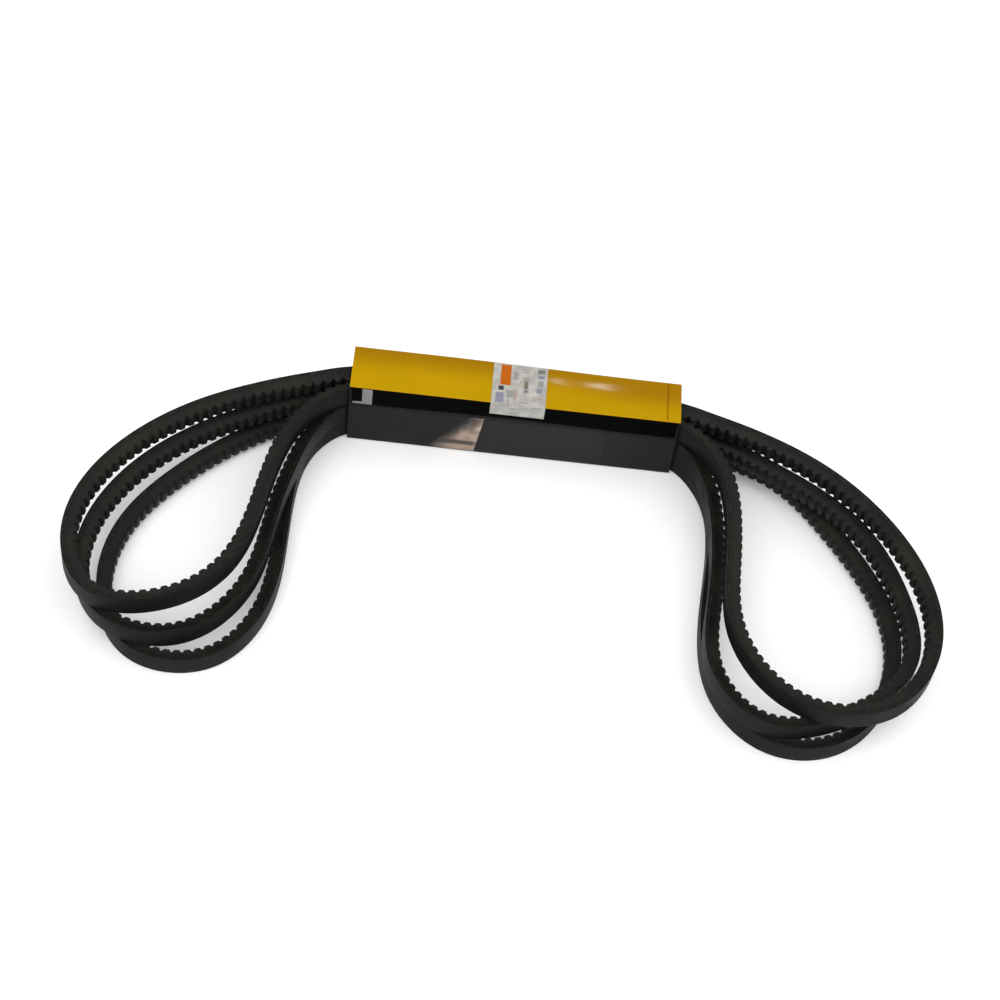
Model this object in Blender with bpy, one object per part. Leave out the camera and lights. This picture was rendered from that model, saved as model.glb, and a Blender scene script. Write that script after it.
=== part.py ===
"""Matched set of three endless raw-edge cogged V-belts in an open-ended carton sleeve.

The belts lie on their flanks, stacked three high.  Both runs of every belt pass side by side
through the carton, and outside its two mouths each belt opens into a teardrop loop.
Metres, +Z up.  The origin is the middle of the carton's underside, +X runs along the carton
and -Y points to the carton's front.
"""
import math

import bmesh
import bpy
import numpy as np
from mathutils import Vector

MM = 0.001

# ---- driving dimensions -------------------------------------------------------------------
GAP = 0.3 * MM                      # clearance kept between touching pieces

BELT_TOP_WIDTH = 16.7 * MM          # classical B section, measured across the back
BELT_HEIGHT = 10.5 * MM             # from the back of the belt to the tips of the cogs
WEDGE_HALF_ANGLE = math.radians(19.0)
BELT_LENGTH = 1745.0 * MM          # along the middle of the section, the same for all three

TOP_COVER = 0.7 * MM                # bonded layers, the back of the belt first; the cogged
CORD_PLY = 1.5 * MM                 # body is what is left below them
CUSHION = 1.4 * MM
COG_COUNT = 232
COG_DEPTH = 2.4 * MM
COG_PROFILE = ((0.0, 0.0), (0.46, 0.0), (0.73, 1.0))    # shares of the pitch and of the depth

STATIONS = 104                      # cross-sections along one belt
BEND_CROWDING = 0.045               # metres; crowds the cross-sections into the bends

CARTON_LENGTH = 240.0 * MM
CARTON_DEPTH = 37.5 * MM
CARTON_HEIGHT = 60.3 * MM
BOARD = 0.8 * MM
FLAP_DROP = 19.5 * MM               # how far the closure flap reaches down the front
FLAP_END_CUT = 2.0 * MM             # the flap stops short of the lid's ends by this much

PAPER = 0.2 * MM
LABEL_LEFT = -17.2 * MM             # left edge of the label from the carton's middle
LABEL_WIDTH = 38.2 * MM
LABEL_TURN_DOWN = 12.5 * MM         # part of the label that lies on the flap
BLOCK_INSET = 4.6 * MM              # coloured block, from the label's left edge
BLOCK_SIZE = (7.5 * MM, 19.0 * MM)
BLOCK_REAR_MARGIN = 2.0 * MM        # from the label's rear edge
STRIP_INSET = 9.4 * MM              # bare L-shaped strip: from the carton's end to its bar
STRIP_WIDTH = 7.3 * MM
STRIP_LEG = 2.2 * MM
PATCH_BOTTOM = (-47.0 * MM, -26.0 * MM)     # printed patch: left and right ends of its edges
PATCH_TOP = (-33.0 * MM, -21.0 * MM)
PATCH_MARGIN = 1.5 * MM

# ---- route of the belts -------------------------------------------------------------------
# Guide points in millimetres for the middle of the section, seen from above.  The stretch
# inside the sleeve is shared.  Loop points run from the far run round to the near run at the
# right, and from the near run round to the far run at the left.
MOUTH_X = 121
FAR_MOUTH_Y = 2.6
NEAR_MOUTH_Y = -9.6
FAR_MIDDLE = [(-95, 6.3), (-50, 7.5), (0, 8), (50, 7.5), (95, 6.3)]
NEAR_MIDDLE = [(95, -6.6), (50, -6.5), (0, -6), (-50, -6.5), (-95, -6.6)]

UPPER_LOOPS = {
    "right": [
        (194, -22), (251, -62), (292, -126), (296, -186), (265, -230), (207, -233), (165, -183),
        (161, -127), (157, -54), (143, -26)],
    "left": [
        (-146, -28), (-161, -57), (-171, -107), (-185, -166), (-219, -201), (-270, -206),
        (-293, -168), (-283, -109), (-242, -57), (-191, -24)],
}
MIDDLE_LOOPS = {
    "right": [
        (188, -26), (254, -72), (286, -130), (291, -193), (245, -238), (188, -250), (154, -214),
        (153, -144), (150, -61), (141, -33)],
    "left": [
        (-142, -32), (-153, -61), (-164, -118), (-175, -181), (-217, -228), (-268, -221),
        (-291, -180), (-280, -118), (-242, -66), (-189, -28)],
}
LOWER_LOOPS = {
    "right": [
        (190, -16), (237, -63), (275, -133), (275, -191), (239, -241), (193, -246), (156, -209),
        (150, -131), (152, -60), (142, -31)],
    "left": [
        (-144, -31), (-154, -61), (-156, -120), (-163, -187), (-194, -227), (-240, -227),
        (-267, -192), (-266, -132), (-236, -80), (-182, -29)],
}

EASE_START = 124.0 * MM             # beyond this the belts ease down to the surface
EASE_RUN = 26.0 * MM
EASE_FRONT = 4.0 * MM               # and so they do this far in front of the carton

# ---- derived carton planes ----------------------------------------------------------------
HALF = 0.5 * CARTON_LENGTH
FRONT = -0.5 * CARTON_DEPTH         # outer face of the closure flap
REAR = 0.5 * CARTON_DEPTH           # outer face of the back panel
PANEL_FACE = FRONT + BOARD + GAP    # outer face of the front panel, behind the flap
WALL_TOP = CARTON_HEIGHT - BOARD - GAP
FLAP_TIP = CARTON_HEIGHT - FLAP_DROP
LABEL_RIGHT = LABEL_LEFT + LABEL_WIDTH


# ---- materials ----------------------------------------------------------------------------
def material(name, colour, roughness):
    mat = bpy.data.materials.new(name)
    mat.use_nodes = True
    shader = mat.node_tree.nodes["Principled BSDF"]
    shader.inputs["Base Color"].default_value = (*colour, 1.0)
    shader.inputs["Roughness"].default_value = roughness
    shader.inputs["Metallic"].default_value = 0.0
    return mat


# ---- route --------------------------------------------------------------------------------
def closed_spline(guides, samples):
    """Smooth closed curve through the guide points: a periodic cubic spline."""
    points = np.array(guides, float)
    count = len(points)
    ahead = np.roll(points, -1, 0) - points
    step = np.linalg.norm(ahead, axis=1) ** 0.75
    system = np.zeros((count, count))
    slopes = np.zeros((count, 2))
    for i in range(count):
        before, after = step[i - 1], step[i]
        system[i, (i - 1) % count] += before
        system[i, i] += 2.0 * (before + after)
        system[i, (i + 1) % count] += after
        slopes[i] = 6.0 * (ahead[i] / after - ahead[i - 1] / before)
    bend = np.linalg.solve(system, slopes)
    pieces = []
    for i in range(count):
        j = (i + 1) % count
        h = step[i]
        t = np.linspace(0.0, h, samples, endpoint=False)[:, None]
        curve = (bend[i] * (h - t) ** 3 + bend[j] * t ** 3) / (6.0 * h)
        curve += (points[i] / h - bend[i] * h / 6.0) * (h - t)
        curve += (points[j] / h - bend[j] * h / 6.0) * t
        pieces.append(curve)
    return np.concatenate(pieces)


def closed_length(curve):
    return np.linalg.norm(np.roll(curve, -1, 0) - curve, axis=1).sum()


def belt_curve(loops, stretch):
    """Centre curve of a belt in metres, its loops stretched away from the mouths."""
    def pull(points, side):
        return [(side * MOUTH_X + (x - side * MOUTH_X) * stretch, y * stretch) for x, y in points]

    guides = FAR_MIDDLE + [(MOUTH_X, FAR_MOUTH_Y)] + pull(loops["right"], 1)
    guides += [(MOUTH_X, NEAR_MOUTH_Y)] + NEAR_MIDDLE + [(-MOUTH_X, NEAR_MOUTH_Y)]
    guides += pull(loops["left"], -1) + [(-MOUTH_X, FAR_MOUTH_Y)]
    return closed_spline(guides, 48) * MM


def fitted_curve(loops):
    """The belt's curve with the stretch that gives it exactly BELT_LENGTH."""
    low, high = 0.95, 1.05
    for _ in range(30):
        middle = 0.5 * (low + high)
        if closed_length(belt_curve(loops, middle)) < BELT_LENGTH:
            low = middle
        else:
            high = middle
    return belt_curve(loops, middle)


def stations(curve, count):
    """Points on the curve, closer together in the bends, and the outward normals there."""
    ahead = np.roll(curve, -1, 0) - curve
    length = np.linalg.norm(ahead, axis=1)
    heading = np.unwrap(np.arctan2(ahead[:, 1], ahead[:, 0]))
    turn = np.abs(np.diff(np.append(heading, heading[0] - 2.0 * math.pi)))
    weight = np.concatenate([[0.0], np.cumsum(length + BEND_CROWDING * turn)])
    closed = np.vstack([curve, curve[:1]])
    places = np.linspace(0.0, weight[-1], count, endpoint=False)
    points = np.stack([np.interp(places, weight, closed[:, k]) for k in (0, 1)], 1)
    along = np.roll(points, -1, 0) - np.roll(points, 1, 0)
    along /= np.linalg.norm(along, axis=1)[:, None]
    return points, np.stack([-along[:, 1], along[:, 0]], 1)


def cog_stations(points, normals):
    """Three stations for each cog, on the straight stretches between the belt's stations."""
    closed = np.vstack([points, points[:1]])
    travel = np.append(0.0, np.cumsum(np.linalg.norm(np.diff(closed, axis=0), axis=1)))
    shares = [cog + share for cog in range(COG_COUNT) for share, _ in COG_PROFILE]
    places = np.array(shares) * travel[-1] / COG_COUNT

    def between(values):
        values = np.vstack([values, values[:1]])
        return np.stack([np.interp(places, travel, values[:, k]) for k in (0, 1)], 1)

    depths = [COG_DEPTH * depth for _, depth in COG_PROFILE] * COG_COUNT
    return between(points), between(normals), np.array(depths)


def ease_down(x, y):
    """Height lost between the sleeve's floor and the open surface, from 0 to BOARD + GAP."""
    beyond = max(abs(x) - EASE_START, FRONT - EASE_FRONT - y)
    t = min(max(beyond / EASE_RUN, 0.0), 1.0)
    return (BOARD + GAP) * t * t * (3.0 - 2.0 * t)


def half_width(offset):
    """Half the belt's width at a distance from the middle of the section, + towards the back."""
    return 0.5 * BELT_TOP_WIDTH - (0.5 * BELT_HEIGHT - offset) * math.tan(WEDGE_HALF_ANGLE)


# ---- builders -----------------------------------------------------------------------------
def add_object(name, bm, mat, hinge=None):
    """Make an object from a bmesh in world coordinates; its origin is its joint's pivot."""
    origin = Vector() if hinge is None else hinge.matrix_world.translation.copy()
    bmesh.ops.recalc_face_normals(bm, faces=bm.faces)
    bmesh.ops.translate(bm, verts=bm.verts, vec=-origin)
    mesh = bpy.data.meshes.new(name)
    bm.to_mesh(mesh)
    bm.free()
    mesh.materials.append(mat)
    obj = bpy.data.objects.new(name, mesh)
    bpy.context.scene.collection.objects.link(obj)
    obj.parent = hinge
    return obj


def pivot(name, place, parent=None):
    """Empty that marks a joint's axis, at a place in world coordinates."""
    empty = bpy.data.objects.new(name, None)
    bpy.context.scene.collection.objects.link(empty)
    empty.parent = parent
    base = Vector() if parent is None else parent.matrix_world.translation
    empty.location = Vector(place) - base
    bpy.context.view_layer.update()
    return empty


def belt_layer(name, points, normals, level, outer, inners, mat):
    """One bonded layer of a belt: the wedge between two offsets, swept round the loop."""
    bm = bmesh.new()
    rings = []
    for (x, y), (nx, ny), inner in zip(points, normals, inners):
        middle = level - ease_down(x, y)
        ring = []
        for offset, side in ((outer, 1), (inner, 1), (inner, -1), (outer, -1)):
            z = middle + side * half_width(offset)
            ring.append(bm.verts.new((x + nx * offset, y + ny * offset, z)))
        rings.append(ring)
    for ring, after in zip(rings, rings[1:] + rings[:1]):
        for k in range(4):
            m = (k + 1) % 4
            bm.faces.new((ring[k], after[k], after[m], ring[m]))
    obj = add_object(name, bm, mat)
    obj.data.shade_smooth()
    obj.data.set_sharp_from_angle(angle=math.radians(40.0))


def panel(name, low, high, mat, hinge):
    """A flat board or paper panel between two corners."""
    low, high = Vector(low), Vector(high)
    middle, size = 0.5 * (low + high), high - low
    bm = bmesh.new()
    bmesh.ops.create_cube(bm, size=1.0)
    for vert in bm.verts:
        vert.co = Vector([middle[k] + vert.co[k] * size[k] for k in range(3)])
    add_object(name, bm, mat, hinge)


def front_sheet(name, outline, y, mat, hinge):
    """A sheet of paper standing on the carton's front, from an outline in X and Z."""
    bm = bmesh.new()
    sheet = bm.faces.new([bm.verts.new((x, y, z)) for x, z in outline])
    extruded = bmesh.ops.extrude_face_region(bm, geom=[sheet])
    moved = [item for item in extruded["geom"] if isinstance(item, bmesh.types.BMVert)]
    bmesh.ops.translate(bm, verts=moved, vec=(0.0, -PAPER, 0.0))
    add_object(name, bm, mat, hinge)


# ---- sub-assemblies -----------------------------------------------------------------------
def build_belt(name, loops, level, mats):
    points, normals = stations(fitted_curve(loops), STATIONS)
    back = 0.5 * BELT_HEIGHT
    tips = -0.5 * BELT_HEIGHT
    layers = (("top_cover", TOP_COVER, mats["cover"]), ("cord_ply", CORD_PLY, mats["cord"]),
              ("cushion_gum", CUSHION, mats["gum"]))
    for layer, thickness, mat in layers:
        inners = np.full(STATIONS, back - thickness)
        belt_layer(f"{name}_{layer}", points, normals, level, back, inners, mat)
        back -= thickness + GAP
    points, normals, depths = cog_stations(points, normals)
    belt_layer(f"{name}_cogged_body", points, normals, level, back, tips + depths, mats["rubber"])


def build_sleeve(mats):
    """Bottom, back and front panels, which shift along the belts together."""
    slide = pivot("carton_slide_axis", (0.0, 0.0, 0.0))
    panel("carton_bottom_panel", (-HALF, PANEL_FACE, 0.0), (HALF, REAR, BOARD),
          mats["inner_board"], slide)
    panel("carton_back_panel", (-HALF, REAR - BOARD, BOARD + GAP), (HALF, REAR, WALL_TOP),
          mats["black_board"], slide)
    panel("carton_front_panel", (-HALF, PANEL_FACE, BOARD + GAP),
          (HALF, PANEL_FACE + BOARD, WALL_TOP), mats["grey_board"], slide)
    low, high = PATCH_MARGIN, FLAP_TIP - PATCH_MARGIN
    patch = [(PATCH_BOTTOM[0], low), (PATCH_BOTTOM[1], low), (PATCH_TOP[1], high),
             (PATCH_TOP[0], high)]
    front_sheet("front_panel_printed_patch", patch, PANEL_FACE - GAP, mats["patch"], slide)
    return slide


def build_lid(slide, mats):
    """Lid panel with the label's upper part, hinged on the crease above the back panel."""
    hinge = pivot("lid_hinge_axis", (0.0, REAR, WALL_TOP + 0.5 * GAP), slide)
    panel("carton_lid_panel", (-HALF, FRONT, CARTON_HEIGHT - BOARD), (HALF, REAR, CARTON_HEIGHT),
          mats["yellow_board"], hinge)
    paper = CARTON_HEIGHT + GAP
    panel("label_on_lid", (LABEL_LEFT, FRONT, paper), (LABEL_RIGHT, REAR, paper + PAPER),
          mats["paper"], hinge)
    ink = paper + PAPER + GAP
    block_left = LABEL_LEFT + BLOCK_INSET
    block_rear = REAR - BLOCK_REAR_MARGIN
    panel("label_colour_block", (block_left, block_rear - BLOCK_SIZE[1], ink),
          (block_left + BLOCK_SIZE[0], block_rear, ink + PAPER), mats["block"], hinge)
    return hinge


def build_flap(lid_hinge, mats):
    """Closure flap with the label's lower part, hinged on the crease at the lid's front."""
    hinge = pivot("closure_flap_axis", (0.0, FRONT, WALL_TOP + 0.5 * GAP), lid_hinge)
    end = HALF - FLAP_END_CUT
    panel("carton_closure_flap", (-end, FRONT, FLAP_TIP), (end, FRONT + BOARD, WALL_TOP),
          mats["black_board"], hinge)
    panel("label_on_flap", (LABEL_LEFT, FRONT - GAP - PAPER, CARTON_HEIGHT - LABEL_TURN_DOWN),
          (LABEL_RIGHT, FRONT - GAP, WALL_TOP), mats["paper"], hinge)
    left = -HALF + STRIP_INSET
    right = left + STRIP_WIDTH
    strip = [(-end, FLAP_TIP), (right, FLAP_TIP), (right, WALL_TOP), (left, WALL_TOP),
             (left, FLAP_TIP + STRIP_LEG), (-end, FLAP_TIP + STRIP_LEG)]
    front_sheet("flap_bare_strip", strip, FRONT - GAP, mats["bare_board"], hinge)


def make_materials():
    looks = {
        "cover": ("belt_top_cover_fabric", (0.022, 0.021, 0.018), 0.78),
        "cord": ("belt_tensile_cord", (0.55, 0.50, 0.40), 0.70),
        "gum": ("belt_cushion_rubber", (0.030, 0.028, 0.026), 0.65),
        "rubber": ("belt_cogged_rubber", (0.018, 0.018, 0.016), 0.60),
        "yellow_board": ("carton_yellow_board", (0.47, 0.26, 0.006), 0.45),
        "black_board": ("carton_black_board", (0.008, 0.008, 0.008), 0.50),
        "grey_board": ("carton_grey_board", (0.042, 0.042, 0.044), 0.50),
        "inner_board": ("carton_inner_board", (0.36, 0.33, 0.28), 0.85),
        "bare_board": ("bare_board", (0.52, 0.51, 0.49), 0.85),
        "paper": ("label_paper", (0.72, 0.72, 0.74), 0.55),
        "block": ("label_colour_ink", (0.46, 0.16, 0.02), 0.55),
        "patch": ("printed_patch_ink", (0.42, 0.31, 0.25), 0.60),
    }
    return {key: material(*look) for key, look in looks.items()}


def main():
    for obj in list(bpy.data.objects):
        bpy.data.objects.remove(obj, do_unlink=True)
    mats = make_materials()
    level = BOARD + GAP + 0.5 * BELT_TOP_WIDTH
    for name, loops in (("lower_belt", LOWER_LOOPS), ("middle_belt", MIDDLE_LOOPS),
                        ("upper_belt", UPPER_LOOPS)):
        build_belt(name, loops, level, mats)
        level += BELT_TOP_WIDTH + GAP
    slide = build_sleeve(mats)
    lid_hinge = build_lid(slide, mats)
    build_flap(lid_hinge, mats)


main()
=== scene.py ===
"""Looks of a matched set of three raw-edge cogged V-belts in an open-ended carton sleeve.

Lengths are in metres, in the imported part's own frame: the origin is the middle of the carton's
underside, +X runs along the carton, -Y points to its front and +Z is up.
"""

import math

import bmesh
import bpy
import numpy as np
from mathutils import Matrix, Vector


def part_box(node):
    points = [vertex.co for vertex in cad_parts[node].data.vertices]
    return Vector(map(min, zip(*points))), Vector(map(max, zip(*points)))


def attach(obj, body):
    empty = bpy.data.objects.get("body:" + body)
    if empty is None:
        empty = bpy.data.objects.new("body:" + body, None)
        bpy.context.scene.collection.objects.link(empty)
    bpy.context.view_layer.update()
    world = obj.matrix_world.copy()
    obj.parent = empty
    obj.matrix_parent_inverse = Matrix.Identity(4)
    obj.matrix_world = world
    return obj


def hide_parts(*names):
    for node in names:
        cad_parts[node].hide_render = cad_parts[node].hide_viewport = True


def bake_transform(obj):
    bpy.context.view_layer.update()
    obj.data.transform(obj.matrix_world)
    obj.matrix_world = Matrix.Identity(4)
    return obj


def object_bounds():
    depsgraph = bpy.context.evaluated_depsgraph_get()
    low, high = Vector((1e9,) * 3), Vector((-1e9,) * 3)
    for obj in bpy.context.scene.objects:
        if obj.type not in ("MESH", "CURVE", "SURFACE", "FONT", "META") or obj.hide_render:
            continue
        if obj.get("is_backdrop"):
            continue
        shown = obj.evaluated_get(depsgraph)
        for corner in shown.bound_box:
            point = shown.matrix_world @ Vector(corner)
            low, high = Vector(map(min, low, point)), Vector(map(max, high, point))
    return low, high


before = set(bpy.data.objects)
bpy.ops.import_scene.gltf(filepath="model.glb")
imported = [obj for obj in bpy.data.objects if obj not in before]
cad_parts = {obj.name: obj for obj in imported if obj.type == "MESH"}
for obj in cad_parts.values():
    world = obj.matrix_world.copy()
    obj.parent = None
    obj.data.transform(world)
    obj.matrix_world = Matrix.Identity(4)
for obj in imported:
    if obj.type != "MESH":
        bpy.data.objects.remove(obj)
cad_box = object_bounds()

MM = 0.001

# ---- belt section and route, the same as in the CAD design ---------------------------------
BELT_TOP_WIDTH = 16.7 * MM
BELT_HEIGHT = 10.5 * MM
WEDGE_SLOPE = math.tan(math.radians(19.0))
BELT_LENGTH = 1745.0 * MM
GAP = 0.3 * MM
BOARD = 0.8 * MM
TOP_COVER = 0.7 * MM
CORD_PLY = 1.5 * MM
CUSHION = 1.4 * MM
COG_COUNT = 232
COG_DEPTH = 2.4 * MM

MOUTH_X = 121
FAR_MOUTH_Y = 2.6
NEAR_MOUTH_Y = -9.6
FAR_MIDDLE = [(-95, 6.3), (-50, 7.5), (0, 8), (50, 7.5), (95, 6.3)]
NEAR_MIDDLE = [(95, -6.6), (50, -6.5), (0, -6), (-50, -6.5), (-95, -6.6)]
LOOPS = {
    "upper_belt": {
        "right": [
            (194, -22), (251, -62), (292, -126), (296, -186), (265, -230), (207, -233),
            (165, -183), (161, -127), (157, -54), (143, -26)],
        "left": [
            (-146, -28), (-161, -57), (-171, -107), (-185, -166), (-219, -201), (-270, -206),
            (-293, -168), (-283, -109), (-242, -57), (-191, -24)],
    },
    "middle_belt": {
        "right": [
            (188, -26), (254, -72), (286, -130), (291, -193), (245, -238), (188, -250),
            (154, -214), (153, -144), (150, -61), (141, -33)],
        "left": [
            (-142, -32), (-153, -61), (-164, -118), (-175, -181), (-217, -228), (-268, -221),
            (-291, -180), (-280, -118), (-242, -66), (-189, -28)],
    },
    "lower_belt": {
        "right": [
            (190, -16), (237, -63), (275, -133), (275, -191), (239, -241), (193, -246),
            (156, -209), (150, -131), (152, -60), (142, -31)],
        "left": [
            (-144, -31), (-154, -61), (-156, -120), (-163, -187), (-194, -227), (-240, -227),
            (-267, -192), (-266, -132), (-236, -80), (-182, -29)],
    },
}
EASE_START = 124.0 * MM             # beyond this the belts ease down to the surface
EASE_RUN = 26.0 * MM
EASE_FRONT = 4.0 * MM               # and so they do this far in front of the carton

# ---- finer detail that only the visual pieces have ----------------------------------------
SEAM = 0.05 * MM                    # between surfaces that lie on each other
BACK_CORNER = 0.6 * MM              # rounding of the belt's back edges
CORD_RECESS = 0.12 * MM             # the cut cords lie a little below the flanks
COG_CHAMFER = 0.25 * MM
TIP_SHARE = 0.44                    # flat tip of a cog, as a share of the pitch
# rings across the gap between two cogs, from -1 at one side to 1 at the other, and the share
# of the half gap over which its wall rises from a tip to the flat bottom
GROOVE_STEPS = (-1.0, -0.82, -0.62, -0.42, -0.2, 0.2, 0.42, 0.62, 0.82)
GROOVE_WALL = 0.72
LAYER_STATIONS = 696                # rings along the layers that have no cogs

FOLD_RADIUS = 1.3 * MM              # outer radius of the carton's folds
FOLD_STEPS = 6
FOLD_LEG = 2.0 * MM                 # legs of the rear crease, beyond its fold
PAPER = 0.12 * MM                   # label and printed sheets
INK = 0.03 * MM


# ---- materials ----------------------------------------------------------------------------
class Look:
    """A Principled material, with short calls for the nodes that its pattern is made of."""

    def __init__(self, name, **sockets):
        self.material = bpy.data.materials.new(name)
        self.material.use_nodes = True
        self.tree = self.material.node_tree
        self.shader = self.tree.nodes["Principled BSDF"]
        for socket, value in sockets.items():
            self.put(socket.replace("_", " "), value)

    def put(self, socket, value):
        self.feed(self.shader.inputs[socket], value)

    def feed(self, socket, value):
        if isinstance(value, bpy.types.NodeSocket):
            self.tree.links.new(value, socket)
        elif isinstance(value, tuple) and len(value) == 3 and len(socket.default_value) == 4:
            socket.default_value = (*value, 1.0)
        else:
            socket.default_value = value

    def node(self, kind, *inputs, **settings):
        made = self.tree.nodes.new(kind)
        for key, value in settings.items():
            setattr(made, key, value)
        for socket, value in zip(made.inputs, inputs):
            if value is not None:
                self.feed(socket, value)
        return made

    def uv(self):
        """Metres along the piece in X and across it in Y."""
        return self.node("ShaderNodeUVMap", uv_map="run").outputs[0]

    def place(self):
        """The point in the row frame, in metres."""
        return self.node("ShaderNodeTexCoord").outputs["Object"]

    def math(self, operation, a, b=0.0):
        return self.node("ShaderNodeMath", a, b, operation=operation).outputs[0]

    def scaled(self, vector, factors):
        return self.node("ShaderNodeVectorMath", vector, factors, operation="MULTIPLY").outputs[0]

    def axes(self, vector):
        return self.node("ShaderNodeSeparateXYZ", vector).outputs

    def noise(self, vector, scale, detail=3.0, stretch=(1.0, 1.0, 1.0)):
        made = self.node("ShaderNodeTexNoise")
        self.feed(made.inputs["Vector"], self.scaled(vector, stretch))
        made.inputs["Scale"].default_value = scale
        made.inputs["Detail"].default_value = detail
        return made.outputs[0]

    def remap(self, value, low, high, to_low=0.0, to_high=1.0):
        made = self.node("ShaderNodeMapRange", value, low, high, to_low, to_high)
        made.interpolation_type = "SMOOTHSTEP"
        return made.outputs[0]

    def mix(self, factor, first, second):
        made = self.node("ShaderNodeMix", data_type="RGBA")
        self.feed(made.inputs[0], factor)
        self.feed(made.inputs[6], first)
        self.feed(made.inputs[7], second)
        return made.outputs[2]

    def weave(self, vector, pitch):
        """Height of a plain weave laid on the bias, from -1 to 1."""
        x, y, _ = self.axes(self.scaled(vector, (math.tau / pitch,) * 3))
        warp = self.math("SINE", self.math("ADD", x, y))
        weft = self.math("SINE", self.math("SUBTRACT", x, y))
        return self.math("MAXIMUM", warp, weft)

    def window(self, vector, box, soft):
        """1 inside a box (x low, x high, y low, y high) of the first two axes, 0 outside."""
        x, y, _ = self.axes(vector)
        inside = 1.0
        for axis, low, high in ((x, box[0], box[1]), (y, box[2], box[3])):
            inside = self.math("MULTIPLY", inside, self.remap(axis, low - soft, low + soft))
            inside = self.math("MULTIPLY", inside, self.remap(axis, high + soft, high - soft))
        return inside

    def bump(self, height, distance, strength=1.0):
        made = self.node("ShaderNodeBump")
        made.inputs["Strength"].default_value = strength
        made.inputs["Distance"].default_value = distance
        self.feed(made.inputs["Height"], height)
        self.put("Normal", made.outputs[0])


def cover_fabric():
    """Rubbered fabric on the belt's back: a fine bias weave, dusty in places, its dark colours darkened
    further as painted shade on the backs, which face sideways.
    """
    look = Look("belt_top_cover_fabric", Specular_IOR_Level=0.10)
    uv = look.uv()
    weave = look.weave(uv, 1.5 * MM)
    dust = look.remap(look.noise(look.place(), 22.0, 4.0), 0.42, 0.72)
    # the fabric's own dark colours, set darker still as painted shade on the belt's sideways-facing
    # back
    thread = look.mix(look.remap(weave, -0.2, 1.0), (0.0030, 0.0031, 0.0027), (0.0072, 0.0072, 0.0060))
    look.put("Base Color", look.mix(look.math("MULTIPLY", dust, 0.55), thread,
                                    (0.0155, 0.0152, 0.0124)))
    look.put("Roughness", look.remap(dust, 0.0, 1.0, 0.52, 0.74))
    grain = look.noise(uv, 2600.0, 2.0)
    look.bump(look.math("ADD", weave, look.math("MULTIPLY", grain, 0.6)), 0.05 * MM, 0.7)
    return look.material


def cord_ply():
    """Cut polyester cords in rubber: slanting strands, browner than what is round them."""
    look = Look("belt_tensile_cord", Roughness=0.72, Specular_IOR_Level=0.15)
    uv = look.uv()
    x, y, _ = look.axes(uv)
    twist = look.math("SINE", look.math("MULTIPLY", look.math("ADD", x, y), math.tau / (1.1 * MM)))
    worn = look.noise(uv, 160.0, 3.0)
    strand = look.math("MULTIPLY", look.remap(twist, -0.4, 0.9), look.remap(worn, 0.35, 0.7))
    look.put("Base Color", look.mix(strand, (0.007, 0.0068, 0.0055), (0.042, 0.037, 0.027)))
    look.bump(twist, 0.06 * MM, 0.8)
    return look.material


def cut_rubber(name, dark, light, across):
    """Rubber cut to size: saw lines along the belt and short pale fibres across it."""
    look = Look(name, Specular_IOR_Level=0.14)
    uv = look.uv()
    place = look.place()
    lines = look.noise(uv, 1.0, 3.0, (60.0, 2600.0, 1.0))
    cloud = look.remap(look.noise(place, 34.0, 4.0), 0.35, 0.75)
    fibre = look.remap(look.noise(place, 1.0, 1.0, across), 0.66, 0.74)
    base = look.mix(look.math("MULTIPLY", cloud, 0.8), dark, light)
    look.put("Base Color", look.mix(look.math("MULTIPLY", fibre, 0.35), base,
                                    (0.055, 0.052, 0.042)))
    look.put("Roughness", look.remap(cloud, 0.0, 1.0, 0.46, 0.66))
    fine = look.noise(place, 1900.0, 2.0)
    look.bump(look.math("ADD", lines, fine), 0.06 * MM, 0.7)
    return look.material


def printed_board(name, base, second, gloss, rear=None, line=None):
    """Varnished print on folding board: faint fibre relief, scuffs and a soft change of tone.

    rear is a painted shade: the darker colour towards the fold behind the lid, which reaches further at
    the right end, and line is the place of a crease, painted darker along its groove as painted shade.
    """
    level, coat = gloss
    look = Look(name, Specular_IOR_Level=level, Coat_Weight=coat, Coat_Roughness=0.07)
    uv = look.uv()
    x, run, _ = look.axes(uv)
    tone = look.remap(look.noise(uv, 16.0, 3.0), 0.3, 0.75)
    colour = look.mix(look.math("MULTIPLY", tone, 0.6), base, second)
    if rear is not None:
        # painted shade: the lid darkens towards its rear fold, further forward at the right end
        reach = look.math("SUBTRACT", run, look.remap(x, 20 * MM, 95 * MM, 0.0, 9 * MM))
        colour = look.mix(look.remap(reach, 21 * MM, -2 * MM), colour, rear)
    if line is not None:
        # painted shade in the crease: a darker line along its groove
        crease_shade = look.window(uv, (line - 0.45 * MM, line + 0.45 * MM, -1.0, 33 * MM), 0.5 * MM)
        colour = look.mix(look.math("MULTIPLY", crease_shade, 0.7), colour, tuple(0.4 * c for c in base))
    scuff = look.remap(look.noise(uv, 90.0, 5.0, (0.35, 1.6, 1.0)), 0.62, 0.80)
    pale = tuple(min(1.0, 1.5 * c + 0.008) for c in base)
    look.put("Base Color", look.mix(look.math("MULTIPLY", scuff, 0.22), colour, pale))
    look.put("Roughness", look.remap(scuff, 0.0, 1.0, 0.36, 0.58))
    look.bump(look.noise(uv, 420.0, 3.0), 0.035 * MM, 0.6)
    return look.material


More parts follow.
